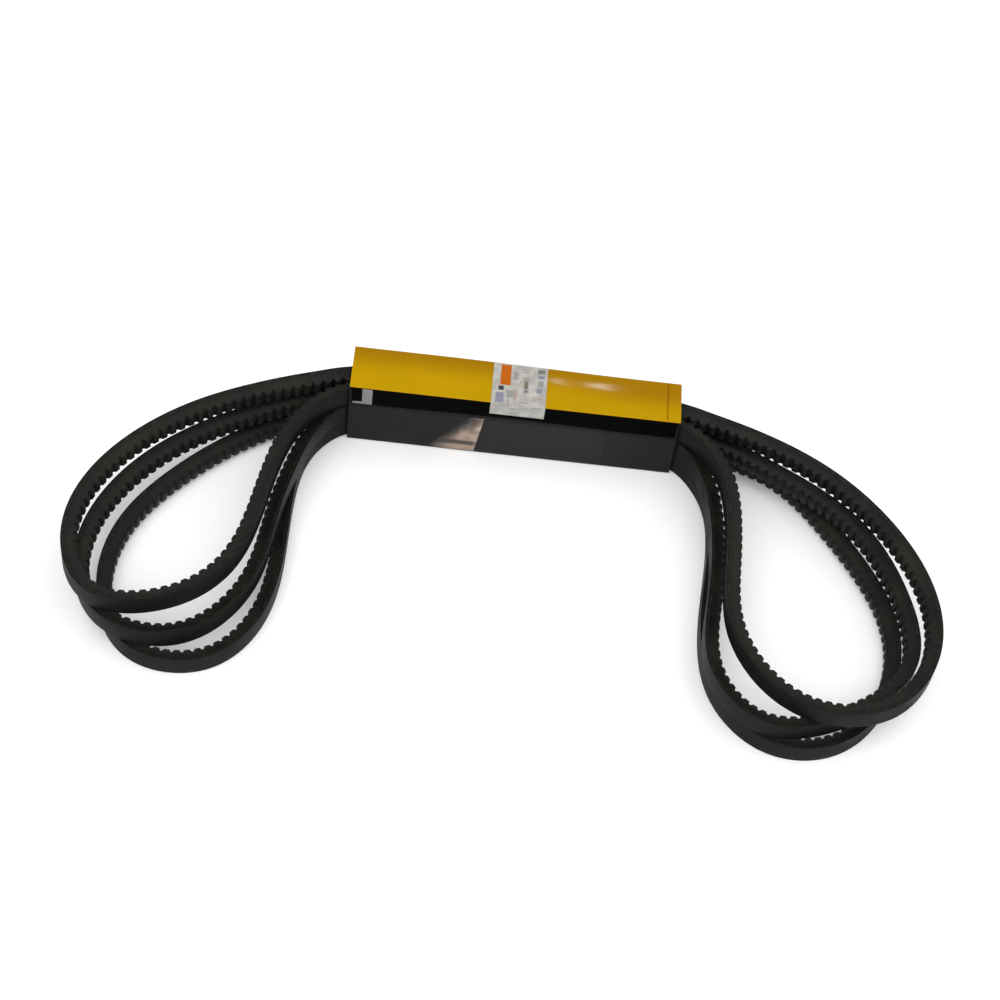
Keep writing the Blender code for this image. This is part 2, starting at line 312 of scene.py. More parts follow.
def grey_front():
    """The front panel's dark grey print, paler in its middle, with a painted shadow of the flap that
    darkens it to black towards the flap.
    """
    look = Look("carton_grey_board", Specular_IOR_Level=0.10)
    place = look.place()
    x, _, z = look.axes(place)
    middle = look.math("MULTIPLY", look.remap(x, -55 * MM, -12 * MM),
                       look.remap(x, 112 * MM, 60 * MM))
    colour = look.mix(middle, (0.0092, 0.0092, 0.0092), (0.0172, 0.0172, 0.0177))
    overlap = look.window(place, (68 * MM, 104 * MM, -1.0, 1.0), 0.8 * MM)
    colour = look.mix(look.math("MULTIPLY", overlap, 0.45), colour, (0.0068, 0.0068, 0.0068))
    smudge = look.remap(look.noise(place, 55.0, 5.0), 0.50, 0.74)
    colour = look.mix(look.math("MULTIPLY", smudge, 0.40), colour, (0.030, 0.029, 0.028))
    # painted shadow cast by the flap: the panel turns black over the last few millimetres below the
    # flap's edge
    painted_flap_shadow = look.remap(z, FLAP_EDGE - 7.0 * MM, FLAP_EDGE + 1.0 * MM)
    look.put("Base Color", look.mix(painted_flap_shadow, colour, (0.0016, 0.0016, 0.0020)))
    look.put("Roughness", look.remap(smudge, 0.0, 1.0, 0.40, 0.60))
    look.bump(look.math("ADD", look.noise(place, 380.0, 3.0), overlap), 0.05 * MM, 0.6)
    return look.material


def raw_board(name, base, fleck):
    """Unprinted recycled board: pulp fibres and flecks."""
    look = Look(name, Roughness=0.86, Specular_IOR_Level=0.20)
    uv = look.uv()
    pulp = look.noise(uv, 700.0, 4.0, (1.0, 0.5, 1.0))
    specks = look.remap(look.noise(uv, 1500.0, 2.0), 0.62, 0.72)
    colour = look.mix(look.remap(pulp, 0.3, 0.7), tuple(0.8 * c for c in base), base)
    look.put("Base Color", look.mix(look.math("MULTIPLY", specks, 0.5), colour, fleck))
    look.bump(pulp, 0.08 * MM, 0.8)
    return look.material


def label_paper(marks):
    """Coated white paper with generic printed bars, from boxes in label millimetres."""
    look = Look("label_paper", Specular_IOR_Level=0.25)
    uv = look.uv()
    tone = look.noise(uv, 120.0, 3.0)
    colour = look.mix(look.remap(tone, 0.35, 0.7), (0.34, 0.33, 0.30), (0.47, 0.46, 0.425))
    for left, right, start, stop, ink in marks:
        box = (left * MM, right * MM, start * MM, stop * MM)
        colour = look.mix(look.window(uv, box, 0.60 * MM), colour, ink)
    look.put("Base Color", colour)
    look.put("Roughness", look.remap(tone, 0.3, 0.7, 0.36, 0.50))
    look.bump(look.noise(uv, 800.0, 2.0), 0.02 * MM, 0.5)
    return look.material


def label_ink():
    """The orange block printed on the label, slightly uneven in tone."""
    look = Look("label_colour_ink", Roughness=0.45, Specular_IOR_Level=0.10)
    tone = look.noise(look.place(), 260.0, 3.0)
    look.put("Base Color", look.mix(tone, (0.40, 0.080, 0.0015), (0.50, 0.125, 0.003)))
    look.bump(look.noise(look.place(), 900.0, 2.0), 0.01 * MM, 0.5)
    return look.material


def patch_ink(top_fade, foot_fade, low, high):
    """Pinkish-beige print that fades to the panel's grey on its left, with a grey streak.

    top_fade and foot_fade are where it starts to show at the heights high and low.
    """
    look = Look("printed_patch_ink", Roughness=0.50, Specular_IOR_Level=0.15)
    place = look.place()
    x, _, z = look.axes(place)
    cloud = look.noise(place, 120.0, 4.0)
    share = look.remap(z, low, high)
    begin = look.math("ADD", look.math("MULTIPLY", share, top_fade - foot_fade), foot_fade)
    reach = look.math("ADD", look.math("SUBTRACT", x, begin),
                      look.math("MULTIPLY", look.math("SUBTRACT", cloud, 0.5), 10 * MM))
    shown = look.remap(reach, 0.0, 19 * MM)
    warm = look.mix(look.remap(cloud, 0.35, 0.65), (0.26, 0.185, 0.145), (0.50, 0.39, 0.33))
    deep = look.mix(share, (0.34, 0.25, 0.20), warm)
    colour = look.mix(shown, (0.026, 0.025, 0.024), deep)
    streak = look.math("MULTIPLY", look.remap(z, 6.5 * MM, 8.5 * MM),
                       look.remap(z, 13.5 * MM, 11.0 * MM))
    streak = look.math("MULTIPLY", streak, look.remap(x, -21.5 * MM, -28.5 * MM))
    look.put("Base Color", look.mix(look.math("MULTIPLY", streak, 0.85), colour,
                                    (0.035, 0.033, 0.032)))
    look.bump(look.noise(place, 420.0, 3.0), 0.02 * MM, 0.5)
    return look.material


# ---- meshes -------------------------------------------------------------------------------
def smooth(t):
    """Eases from 0 to 1, level at both ends."""
    return t * t * (3.0 - 2.0 * t)


def finish_mesh(name, vertices, faces, uvs, mats, kinds=None, sharp=40.0):
    """An object from numbers: a uv in metres for each face corner, a material for each face."""
    mesh = bpy.data.meshes.new(name)
    mesh.from_pydata(vertices, [], faces)
    for mat in mats:
        mesh.materials.append(mat)
    if kinds is not None:
        mesh.polygons.foreach_set("material_index", kinds)
    layer = mesh.uv_layers.new(name="run")
    layer.data.foreach_set("uv", np.asarray(uvs, np.float32).ravel())
    mesh.shade_smooth()
    mesh.set_sharp_from_angle(angle=math.radians(sharp))
    mesh.validate()
    obj = bpy.data.objects.new(name, mesh)
    bpy.context.scene.collection.objects.link(obj)
    return obj


# ---- belts --------------------------------------------------------------------------------
def closed_spline(guides, samples):
    """Smooth closed curve through the guide points: a periodic cubic spline."""
    points = np.array(guides, float)
    count = len(points)
    ahead = np.roll(points, -1, 0) - points
    step = np.linalg.norm(ahead, axis=1) ** 0.75
    system = np.zeros((count, count))
    slopes = np.zeros((count, 2))
    for i in range(count):
        before, after = step[i - 1], step[i]
        system[i, (i - 1) % count] += before
        system[i, i] += 2.0 * (before + after)
        system[i, (i + 1) % count] += after
        slopes[i] = 6.0 * (ahead[i] / after - ahead[i - 1] / before)
    bend = np.linalg.solve(system, slopes)
    pieces = []
    for i in range(count):
        j = (i + 1) % count
        h = step[i]
        t = np.linspace(0.0, h, samples, endpoint=False)[:, None]
        curve = (bend[i] * (h - t) ** 3 + bend[j] * t ** 3) / (6.0 * h)
        curve += (points[i] / h - bend[i] * h / 6.0) * (h - t)
        curve += (points[j] / h - bend[j] * h / 6.0) * t
        pieces.append(curve)
    return np.concatenate(pieces)


def belt_curve(loops, stretch):
    """Centre curve of a belt in metres, its loops stretched away from the mouths."""
    def pull(points, side):
        return [(side * MOUTH_X + (x - side * MOUTH_X) * stretch, y * stretch) for x, y in points]

    guides = FAR_MIDDLE + [(MOUTH_X, FAR_MOUTH_Y)] + pull(loops["right"], 1)
    guides += [(MOUTH_X, NEAR_MOUTH_Y)] + NEAR_MIDDLE + [(-MOUTH_X, NEAR_MOUTH_Y)]
    guides += pull(loops["left"], -1) + [(-MOUTH_X, FAR_MOUTH_Y)]
    return closed_spline(guides, 48) * MM


def fitted_curve(loops):
    """The belt's curve with the stretch that gives it exactly BELT_LENGTH."""
    low, high = 0.95, 1.05
    for _ in range(30):
        middle = 0.5 * (low + high)
        curve = belt_curve(loops, middle)
        if np.linalg.norm(np.roll(curve, -1, 0) - curve, axis=1).sum() < BELT_LENGTH:
            low = middle
        else:
            high = middle
    return curve


def along_route(curve, shares):
    """Points and outward normals at shares, from 0 to 1, of the way round a closed curve."""
    closed = np.vstack([curve, curve[:1]])
    travel = np.append(0.0, np.cumsum(np.linalg.norm(np.diff(closed, axis=0), axis=1)))
    tangent = np.roll(curve, -1, 0) - np.roll(curve, 1, 0)
    places = np.asarray(shares) * travel[-1]

    def pick(values):
        values = np.vstack([values, values[:1]])
        return np.stack([np.interp(places, travel, values[:, k]) for k in (0, 1)], 1)

    heading = pick(tangent / np.linalg.norm(tangent, axis=1)[:, None])
    heading /= np.linalg.norm(heading, axis=1)[:, None]
    return pick(curve), np.stack([-heading[:, 1], heading[:, 0]], 1)


def ease_down(points):
    """Height lost between the sleeve's floor and the open surface, from 0 to BOARD + GAP."""
    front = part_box("carton_closure_flap")[0].y
    beyond = np.maximum(np.abs(points[:, 0]) - EASE_START, front - EASE_FRONT - points[:, 1])
    return (BOARD + GAP) * smooth(np.clip(beyond / EASE_RUN, 0.0, 1.0))


def half_width(offset):
    """Half the belt's width at a distance from the middle of the section, + towards the back."""
    return 0.5 * BELT_TOP_WIDTH - (0.5 * BELT_HEIGHT - offset) * WEDGE_SLOPE


def swept(name, curve, level, shares, section, mat):
    """A closed tube round the belt's curve: section holds (offset, height) rings, one a station."""
    points, normals = along_route(curve, shares)
    count, corners = section.shape[:2]
    level = level - ease_down(points)
    vertices = np.zeros((count, corners, 3))
    vertices[:, :, :2] = points[:, None] + normals[:, None] * section[:, :, :1]
    vertices[:, :, 2] = level[:, None] + section[:, :, 1]
    ring = np.arange(count)[:, None] * corners + np.arange(corners)
    across = np.roll(ring, -1, 1)
    faces = np.stack([ring, across, np.roll(across, -1, 0), np.roll(ring, -1, 0)], 2)
    run = np.append(shares, 1.0) * BELT_LENGTH
    widths = np.linalg.norm(np.roll(section[0], -1, 0) - section[0], axis=1)
    side = np.append(0.0, np.cumsum(widths))
    u = np.stack([run[:-1], run[:-1], run[1:], run[1:]], 1)[:, None].repeat(corners, 1)
    v = np.stack([side[:-1], side[1:], side[1:], side[:-1]], 1)[None].repeat(count, 0)
    uvs = np.stack([u, v], 3).reshape(-1, 2)
    return finish_mesh(name, vertices.reshape(-1, 3), faces.reshape(-1, 4).tolist(), uvs, [mat])


def plain_section(outer, inner, recess=0.0):
    """A layer's wedge-shaped ring between two offsets from the middle of the section."""
    ring = [(inner, -half_width(inner) + recess), (outer, -half_width(outer) + recess),
            (outer, half_width(outer) - recess), (inner, half_width(inner) - recess)]
    return np.array(ring)


def cover_section(outer, inner):
    """The top cover's ring, its two back corners rounded."""
    corner = Vector((outer, half_width(outer)))
    down_flank = Vector((-1.0, -WEDGE_SLOPE)).normalized() * BACK_CORNER
    down_back = Vector((0.0, -BACK_CORNER))
    upper = []
    for t in (0.0, 0.3, 0.55, 0.8, 1.0):
        upper.append(corner + down_back * (1.0 - t) ** 2 + down_flank * t ** 2)
    upper.append(Vector((inner, half_width(inner))))
    lower = [Vector((point.x, -point.y)) for point in reversed(upper)]
    return np.array([tuple(point) for point in lower + upper])


def cog_rings(outer):
    """Shares of the way round and rings for the cogged body: flat tips, round-bottomed gaps."""
    shares, depths = [], []
    half_gap = 0.5 * (1.0 - TIP_SHARE)
    for cog in range(COG_COUNT):
        shares += [cog, cog + 0.5 * TIP_SHARE]
        depths += [0.0, 0.0]
        for step in GROOVE_STEPS:
            rise = min((1.0 - abs(step)) / GROOVE_WALL, 1.0)
            shares.append(cog + TIP_SHARE + half_gap * (1.0 + step))
            depths.append(COG_DEPTH * smooth(rise))
    rings = []
    for depth in depths:
        tip = -0.5 * BELT_HEIGHT + depth
        edge, face = half_width(tip + COG_CHAMFER), half_width(tip) - COG_CHAMFER
        rings.append([(outer, -half_width(outer)), (outer, half_width(outer)),
                      (tip + COG_CHAMFER, edge), (tip, face), (tip, -face),
                      (tip + COG_CHAMFER, -edge)])
    return np.array(shares) / COG_COUNT, np.array(rings)


def build_belt(name, loops, level, mats):
    """The four bonded layers of one belt, nearly touching, each in place of its CAD layer."""
    curve = fitted_curve(loops)
    even = np.arange(LAYER_STATIONS) / LAYER_STATIONS
    spread = 0.5 * (GAP - SEAM)
    back = 0.5 * BELT_HEIGHT
    made = []
    for layer, thickness in (("top_cover", TOP_COVER), ("cord_ply", CORD_PLY),
                             ("cushion_gum", CUSHION)):
        outer = back if layer == "top_cover" else back + spread
        inner = back - thickness - spread
        if layer == "top_cover":
            ring = cover_section(outer, inner)
        else:
            ring = plain_section(outer, inner, CORD_RECESS if layer == "cord_ply" else 0.0)
        section = np.repeat(ring[None], LAYER_STATIONS, 0)
        piece = swept(f"{name}_{layer}_detail", curve, level, even, section, mats[layer])
        made.append((piece, f"{name}_{layer}"))
        back -= thickness + GAP
    shares, rings = cog_rings(back + spread)
    body = swept(f"{name}_cogged_body_detail", curve, level, shares, rings, mats["cogged_body"])
    made.append((body, f"{name}_cogged_body"))
    for piece, node in made:
        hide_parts(node)
        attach(piece, "belts")


# ---- folded board and paper ---------------------------------------------------------------
def folded_path(corners, radius, step):
    """Rows (y, z, outward y, outward z) along a path in the YZ plane with its corners rounded."""
    corners = [Vector(corner) for corner in corners]
    rows = []
    start = corners[0]
    for k in range(1, len(corners)):
        ahead = (corners[k] - corners[k - 1]).normalized()
        out = Vector((ahead.y, -ahead.x))
        last = k == len(corners) - 1
        stop = corners[k] - (Vector() if last else ahead.to_3d() * radius).to_2d()
        count = max(1, round((stop - start).length / step))
        for i in range(count + 1):
            point = start.lerp(stop, i / count)
            rows.append((point.x, point.y, out.x, out.y))
        if last:
            break
        beyond = (corners[k + 1] - corners[k]).normalized()
        next_out = Vector((beyond.y, -beyond.x))
        centre = stop - out * radius
        for i in range(1, FOLD_STEPS):
            turned = out.lerp(next_out, i / FOLD_STEPS).normalized()
            point = centre + turned * radius
            rows.append((point.x, point.y, turned.x, turned.y))
        start = corners[k] + beyond * radius
    return np.array(rows)


def folded_sheet(name, rows, span, columns, thickness, paint, mats, warp=None, first=0.0):
    """A closed sheet of board or paper that follows the rows, from span(row) in X.

    columns are shares from 0 to 1 across the span.  warp(x, run) lifts the whole sheet along
    its outward normal.  paint(x, run, side) gives a face's material, where side is outer,
    inner or edge.  first is what the run counts from in the pattern's coordinates.
    """
    run = np.append(0.0, np.cumsum(np.linalg.norm(np.diff(rows[:, :2], axis=0), axis=1)))
    ends = np.array([span(row, distance) for row, distance in zip(rows, run)])
    xs = ends[:, :1] + np.asarray(columns)[None] * (ends[:, 1:] - ends[:, :1])
    lift = np.zeros_like(xs) if warp is None else warp(xs, np.repeat(run[:, None], xs.shape[1], 1))
    skins = []
    for depth in (0.0, thickness):
        skin = np.zeros((*xs.shape, 3))
        skin[..., 0] = xs
        for axis in (1, 2):
            skin[..., axis] = rows[:, None, axis - 1] + rows[:, None, axis + 1] * (lift - depth)
        skins.append(skin.reshape(-1, 3))
    vertices = np.concatenate(skins)
    high, wide = xs.shape
    inner = high * wide
    faces, uvs, kinds = [], [], []

    def add(corners, side):
        grid = [(c % inner // wide, c % inner % wide) for c in corners]
        faces.append(corners)
        places = [(xs[r, c], run[r]) for r, c in grid]
        uvs.extend((x, first + along) for x, along in places)
        middle = np.mean(places, axis=0)
        kinds.append(paint(middle[0], middle[1], side))

    for r in range(high - 1):
        for c in range(wide - 1):
            a = r * wide + c
            add((a, a + wide, a + wide + 1, a + 1), "outer")
            add((inner + a, inner + a + 1, inner + a + wide + 1, inner + a + wide), "inner")
    for r in range(high - 1):
        for a, b in ((r * wide, (r + 1) * wide), ((r + 2) * wide - 1, (r + 1) * wide - 1)):
            add((a, inner + a, inner + b, b), "edge")
    for c in range(wide - 1):
        for a, b in ((c + 1, c), ((high - 1) * wide + c, (high - 1) * wide + c + 1)):
            add((a, inner + a, inner + b, b), "edge")
    return finish_mesh(name, vertices, faces, uvs, mats, kinds)


def even_columns(count):
    return np.linspace(0.0, 1.0, count + 1)


def ragged(position, size, seed):
    """A small repeatable wander for a torn or hand-cut edge."""
    waves = ((2900.0, 1.0), (5300.0, 0.6), (9700.0, 0.35))
    return size * sum(share * math.sin(rate * position + seed) for rate, share in waves)


# ---- carton -------------------------------------------------------------------------------
LID_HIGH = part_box("carton_lid_panel")[1]
FLAP_LOW, FLAP_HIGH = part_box("carton_closure_flap")
PANEL_LOW, PANEL_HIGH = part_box("carton_front_panel")
HALF = LID_HIGH.x
FRONT, REAR, TOP = FLAP_LOW.y, LID_HIGH.y, LID_HIGH.z
WALL_TOP = PANEL_HIGH.z
CREASE_X = 110.2 * MM               # a crease across the lid near its right end
CREASE_DEPTH = 0.45 * MM
CREASE_HALF = 0.55 * MM
LID_BOW = 0.45 * MM                 # the lid bellies up a little between its folds
REAR_SWELL = 2.1 * MM               # and rises towards its rear fold by this much at the left
SWELL_END = 95.0 * MM               # the rise ends here, and is full this far to the left of it
SWELL_FADE = 150.0 * MM
FLAP_EDGE = FLAP_LOW.z + 1.6 * MM   # lower edge of the closure flap
FLAP_ARCH = 1.6 * MM                # its middle is bowed up by this much
FLAP_ARCH_HALF = 75.0 * MM
FLAP_CORNER = 1.0 * MM
RELIEF = 3.0 * MM                   # slanted cut where the flap leaves the lid

LABEL_REAR_MARGIN = 0.9 * MM        # from the carton's rear to the label
LABEL_SPARE = (0.9 * MM, 0.5 * MM)  # how far the paper's sides pass its CAD sheet
STRIP_LEG = 2.4 * MM                # height of the bare L's foot
STRIP_BAR = 7.3 * MM                # width of its upright
STRIP_LIFT = 0.2 * MM               # from the flap's lower edge to the foot
STRIP_END = 0.6 * MM                # from the flap's end to the foot


def build_sleeve(looks):
    """Front, bottom and back as one board folded round the two lower corners."""
    back_top = TOP - FOLD_RADIUS - FOLD_LEG - SEAM
    corners = [(PANEL_LOW.y, WALL_TOP), (PANEL_LOW.y, 0.0), (REAR, 0.0), (REAR, back_top)]
    rows = folded_path(corners, FOLD_RADIUS, 3.0 * MM)
    front_run = WALL_TOP - 0.5 * FOLD_RADIUS

    def paint(x, run, side):
        if side != "outer":
            return 2 if side == "inner" else 3
        return 0 if run < front_run else 1

    mats = [looks["grey"], looks["back"], looks["inner"], looks["edge"]]
    sleeve = folded_sheet("carton_sleeve_board", rows, lambda row, run: (-HALF, HALF),
                          even_columns(48), BOARD, paint, mats)
    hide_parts("carton_bottom_panel", "carton_back_panel", "carton_front_panel")
    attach(sleeve, "carton")


def raise_rear(piece, low=None):
    """Lifts a piece with the lid's rear edge; low is where the lift starts on the back wall."""
    for vertex in piece.data.vertices:
        x, y, z = vertex.co
        share = min(max((SWELL_END - x) / SWELL_FADE, 0.0), 1.0)
        across = min(max((y - FRONT) / (REAR - FRONT), 0.0), 1.0)
        rise = REAR_SWELL * smooth(share) * across
        if low is not None:
            rise *= min(max((z - low) / FOLD_LEG, 0.0), 1.0)
        vertex.co.z = z + rise


def build_rear_crease(looks):
    """The fold between the back panel and the lid."""
    leg = FOLD_RADIUS + FOLD_LEG
    rows = folded_path([(REAR, TOP - leg), (REAR, TOP), (REAR - leg, TOP)], FOLD_RADIUS, 0.7 * MM)
    turn = FOLD_LEG + 0.25 * math.pi * FOLD_RADIUS

    def paint(x, run, side):
        if side != "outer":
            return 2 if side == "inner" else 3
        return 0 if run > turn else 1

    mats = [looks["yellow"], looks["back"], looks["inner"], looks["edge"]]
    crease = folded_sheet("carton_rear_crease", rows, lambda row, run: (-HALF, HALF),
                          even_columns(48), BOARD, paint, mats, first=-3.0 * leg)
    raise_rear(crease, TOP - leg)
    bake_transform(crease)


def lid_warp(x, run):
    """Belly of the lid and the crease near its right end; nothing past the front fold."""
    depth = REAR - FRONT - FOLD_RADIUS - FOLD_LEG
    across = np.clip(run / depth, 0.0, 1.0)
    belly = LID_BOW * np.sin(math.pi * across) ** 2 * (1.0 - (x / HALF) ** 4)
    groove = np.clip(1.0 - np.abs(x - CREASE_X) / CREASE_HALF, 0.0, 1.0)
    return belly - CREASE_DEPTH * groove * np.clip((1.0 - across) * 12.0, 0.0, 1.0)


def build_lid_and_flap(looks):
    """Lid and closure flap as one board that bends in the front crease."""
    corners = [(REAR - FOLD_RADIUS - FOLD_LEG - SEAM, TOP), (FRONT, TOP), (FRONT, FLAP_EDGE)]
    rows = folded_path(corners, FOLD_RADIUS, 0.9 * MM)
    flap_half = FLAP_HIGH.x

    def span(row, run):
        below = TOP - row[1]
        if below < 0.3 * MM:
            return -HALF, HALF
        half = HALF - (HALF - flap_half) * min(below / RELIEF, 1.0)
        up = row[1] - FLAP_EDGE
        if up < FLAP_CORNER:
            half -= FLAP_CORNER - math.sqrt(FLAP_CORNER ** 2 - (FLAP_CORNER - up) ** 2)
        return -half, half

    lid_run = REAR - FRONT - 2.0 * FOLD_RADIUS - FOLD_LEG + 0.25 * math.pi * FOLD_RADIUS

    def paint(x, run, side):
        if side != "outer":
            return 2 if side == "inner" else 3
        return 0 if run < lid_run + 0.5 * MM else 1

    groove = CREASE_X + CREASE_HALF * np.array([-1.0, -0.5, 0.0, 0.5, 1.0])
    plain = [x for x in np.linspace(-HALF, HALF, 96) if abs(groove - x).min() > 0.1 * MM]
    columns = [(x + HALF) / (2.0 * HALF) for x in sorted([*plain, *groove])]
    mats = [looks["yellow"], looks["black"], looks["inner"], looks["edge"]]
    board = folded_sheet("carton_lid_and_flap_board", rows, span, columns, BOARD, paint, mats,
                         lid_warp)
    for vertex in board.data.vertices:
        down = (TOP - RELIEF - vertex.co.z) / (TOP - RELIEF - FLAP_EDGE)
        if down > 0.0 and vertex.co.y < FRONT + BOARD + INK:
            arch = max(0.0, 1.0 - (vertex.co.x / FLAP_ARCH_HALF) ** 2)
            vertex.co.z += FLAP_ARCH * down * arch
    raise_rear(board)
    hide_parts("carton_lid_panel", "carton_closure_flap")
    bend_with_flap(board)


def bend_with_flap(piece):
    """Bakes the piece's placement into its mesh."""
    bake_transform(piece)


def build_label(looks):
    """One paper label that lies on the lid and is folded down on the flap."""
    low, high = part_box("label_on_lid")
    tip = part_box("label_on_flap")[0].z
    proud = SEAM + PAPER
    rear = REAR - LABEL_REAR_MARGIN
    corners = [(rear, TOP + proud), (FRONT - proud, TOP + proud), (FRONT - proud, tip)]
    rows = folded_path(corners, FOLD_RADIUS + proud, 0.9 * MM)
    start = rear - (REAR - FOLD_RADIUS - FOLD_LEG - SEAM)

    def warp(x, run):
        return np.where(run < start, 0.0, lid_warp(x, run - start))

    sides = low.x - LABEL_SPARE[0], high.x + LABEL_SPARE[1]
    label = folded_sheet("label_paper_sheet", rows, lambda row, run: sides,
                         even_columns(24), PAPER, lambda x, run, side: 0, [looks["paper"]], warp)
    raise_rear(label)
    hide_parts("label_on_lid", "label_on_flap")
    bend_with_flap(label)

    low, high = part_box("label_colour_block")
    level = TOP + proud + INK + 0.02 * MM
    rows = folded_path([(high.y, level), (low.y, level)], 0.0, 1.2 * MM)
    start = REAR - FOLD_RADIUS - FOLD_LEG - SEAM - high.y

    def span(row, run):
        return low.x + ragged(run, 0.06 * MM, 1.0), high.x + ragged(run, 0.06 * MM, 4.0)

    block = folded_sheet("label_ink_block", rows, span, even_columns(8), INK,
                         lambda x, run, side: 0, [looks["ink"]],
                         lambda x, run: lid_warp(x, np.maximum(run + start, 0.0)))
    raise_rear(block)
    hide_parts("label_colour_block")
    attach(block, "lid")


def build_front_prints(looks):
    """The printed patch on the front panel and the bare L-shaped strip on the flap."""
    low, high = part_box("front_panel_printed_patch")
    face = PANEL_LOW.y - SEAM - INK
    rows = folded_path([(face, high.z), (face, low.z)], 0.0, 1.0 * MM)

    def patch_span(row, run):
        down = (high.z - row[1]) / (high.z - low.z)
        left = low.x + (16.0 - 30.0 * down) * MM + ragged(row[1], 0.5 * MM, 2.0)
        right = high.x - 5.0 * down * MM + ragged(row[1], 0.12 * MM, 0.5)
        return left, right

    patch = folded_sheet("front_panel_print", rows, patch_span, even_columns(16), INK,
                         lambda x, run, side: 0, [looks["patch"]])
    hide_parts("front_panel_printed_patch")
    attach(patch, "carton")

    low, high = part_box("flap_bare_strip")
    face = FRONT - SEAM - INK
    base = FLAP_EDGE + STRIP_LIFT
    knee = base + STRIP_LEG
    upright = folded_path([(face, TOP - FOLD_RADIUS), (face, knee + SEAM)], 0.0, 0.7 * MM)
    foot = folded_path([(face, knee), (face, base)], 0.0, 0.5 * MM)
    rows = np.concatenate([upright, foot])

    def strip_span(row, run):
        left = high.x - STRIP_BAR if row[1] > knee else -FLAP_HIGH.x + STRIP_END
        return left + ragged(row[1], 0.10 * MM, 3.0), high.x + ragged(row[1], 0.10 * MM, 5.0)

    strip = folded_sheet("flap_bare_board_strip", rows, strip_span, even_columns(12), INK,
                         lambda x, run, side: 0, [looks["bare"]])
    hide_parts("flap_bare_strip")
    bend_with_flap(strip)


# ---- floor, lights and camera -------------------------------------------------------------
AZIMUTH = math.radians(-2.88)
ELEVATION = math.radians(52.0)
ROLL = math.radians(8.53)
LENS = 81.0                         # millimetres on a 36 mm sensor
DISTANCE = 1666.7 * MM
SHIFT_RIGHT = -5.83 * MM            # the camera's place across its own axes
SHIFT_UP = -31.87 * MM
AIM = Vector((0.0, -18.75 * MM, 0.0))

FLOOR_REACH = 60.0                  # far enough for no edge to show from low down
FLOOR_DROP = 0.2 * MM


def build_camera():
    back = Vector((math.sin(AZIMUTH) * math.cos(ELEVATION),
                   -math.cos(AZIMUTH) * math.cos(ELEVATION), math.sin(ELEVATION)))
    level = Vector((math.cos(AZIMUTH), math.sin(AZIMUTH), 0.0))
    upright = back.cross(level)
    right = math.cos(ROLL) * level + math.sin(ROLL) * upright
    up = -math.sin(ROLL) * level + math.cos(ROLL) * upright
    data = bpy.data.cameras.new("camera")
    data.lens = LENS
    data.sensor_width = 36.0
    camera = bpy.data.objects.new("camera", data)
    place = AIM + back * DISTANCE + right * SHIFT_RIGHT + up * SHIFT_UP
    camera.matrix_world = Matrix.Translation(place) @ Matrix((right, up, back)).transposed().to_4x4()
    bpy.context.scene.collection.objects.link(camera)
    bpy.context.scene.camera = camera


def build_floor():
    look = Look("floor", Roughness=0.9, Specular_IOR_Level=0.1)
    tone = look.noise(look.place(), 3.0, 2.0)
    look.put("Base Color", look.mix(tone, (0.95, 0.95, 0.95), (0.98, 0.98, 0.98)))
    look.put("Emission Color", (1.0, 1.0, 1.0))
    look.put("Emission Strength", 0.10)
    mesh = bpy.data.meshes.new("floor")
    corners = [(x * FLOOR_REACH, y * FLOOR_REACH, 0.0) for x, y in ((-1, -1), (1, -1), (1, 1), (-1, 1))]
    mesh.from_pydata(corners, [], [(0, 1, 2, 3)])
    mesh.materials.append(look.material)
    floor = bpy.data.objects.new("floor", mesh)
    floor.location.z = -FLOOR_DROP
    bpy.context.scene.collection.objects.link(floor)
    floor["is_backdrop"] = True


def aimed(obj, place, target):
    """Puts a light at a place, facing the target."""
    obj.location = place
    obj.rotation_euler = (Vector(target) - Vector(place)).to_track_quat("-Z", "Y").to_euler()
    bpy.context.scene.collection.objects.link(obj)


def build_lights():
    """A white surround, two broad soft sources and a distant pair of small strip lamps."""
    middle = (0.0, -0.1, 0.0)
    for name, place, strength, spread in (("key", (-0.7, -1.3, 2.4), 1.10, 50.0),
                                          ("fill", (1.5, -0.2, 2.0), 0.70, 70.0)):
        data = bpy.data.lights.new(name, "SUN")
        data.energy = strength
        data.angle = math.radians(spread)
        aimed(bpy.data.objects.new(name, data), place, middle)
    for name, place, sizes, watts, spot in (
            ("lamp_a", (0.135, 1.032, 1.152), (0.016, 0.014), 0.08, (0.028, 0.009)),
            ("lamp_b", (0.185, 1.056, 1.121), (0.030, 0.012), 0.20, (0.060, 0.008))):
        data = bpy.data.lights.new(name, "AREA")
        data.shape = "RECTANGLE"
        data.size, data.size_y = sizes
        data.energy = watts
        lamp = bpy.data.objects.new(name, data)
        lamp.visible_camera = False
        aimed(lamp, place, (*spot, LID_HIGH.z))
    world = bpy.data.worlds.new("studio")
    world.use_nodes = True
    world.node_tree.nodes["Background"].inputs[0].default_value = (1.0, 1.0, 1.0, 1.0)
    world.node_tree.nodes["Background"].inputs[1].default_value = 0.74
    bpy.context.scene.world = world
    bpy.context.scene.view_settings.view_transform = "Standard"


